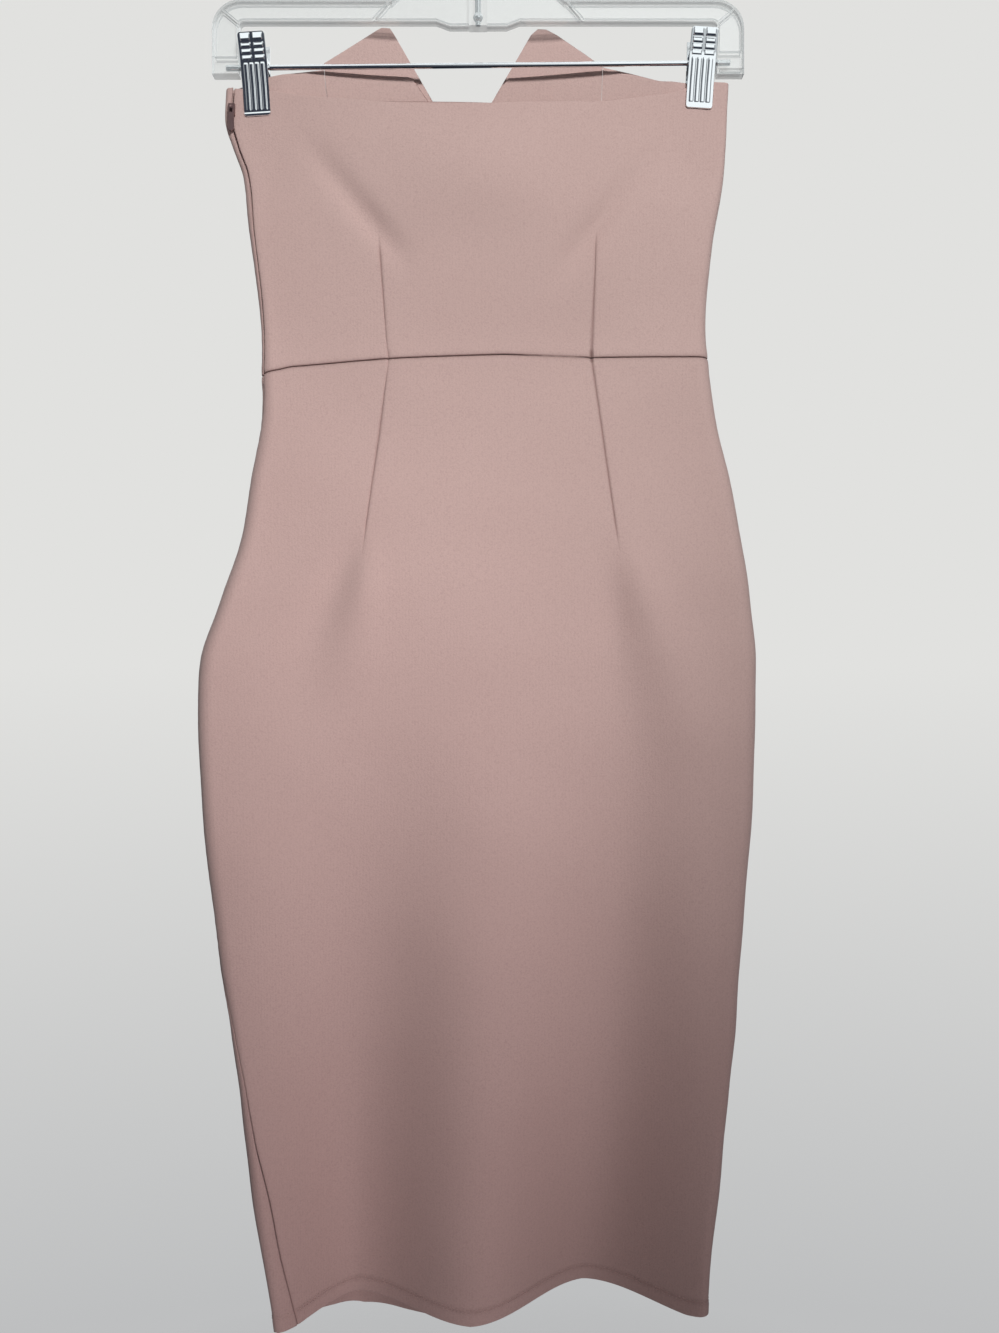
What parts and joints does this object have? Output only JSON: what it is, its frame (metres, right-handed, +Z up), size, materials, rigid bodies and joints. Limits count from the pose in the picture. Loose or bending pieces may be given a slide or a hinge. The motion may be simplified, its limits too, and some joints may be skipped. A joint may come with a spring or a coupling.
{
  "type": "strapless dress on clip hanger",
  "caption": "Strapless fitted midi dress with a notched, pointed neckline, hung back to the viewer by two metal clips on a clear plastic hanger, with a side zip pull that swings.",
  "frame": {"origin": "inner top of the hanger's hook, where it rests on a rail", "axes": "+Z up, +Y from the back of the dress to its front, +X to the right as seen from behind the dress"},
  "size_m": [0.373, 0.0784, 0.9619],
  "materials": {
    "dress_cloth": "matt double-knit crepe",
    "zip_coil": "woven tape and nylon coil",
    "zip_metal": "dyed to match",
    "clear_plastic": "clear moulded",
    "chrome": "bright plated"
  },
  "bodies": {
    "root": {"back_bodice": "dress_cloth", "back_skirt": "dress_cloth", "front_skirt": "dress_cloth", "front_bodice_side_right": "dress_cloth", "front_bodice_centre": "dress_cloth", "front_bodice_side_left": "dress_cloth", "facing_side_right": "dress_cloth", "facing_centre": "dress_cloth", "facing_side_left": "dress_cloth", "zip_coil": "zip_coil", "zip_slider": "zip_metal", "hanger_frame": "clear_plastic", "hanger_hook": "chrome", "hanger_bar": "chrome", "clip_left_near_plate": "chrome", "clip_left_far_plate": "chrome", "clip_left_spring": "chrome", "clip_right_near_plate": "chrome", "clip_right_far_plate": "chrome", "clip_right_spring": "chrome"},
    "pull": {"zip_pull": "zip_metal"}
  },
  "joints": [
    {"name": "zip_pull_swing", "type": "hinge", "parent": "root", "child": "pull", "pos_m": [-0.1647, -0.0061, -0.143], "axis": [-1, 0, 0], "range_deg": [0, 160]}
  ]
}
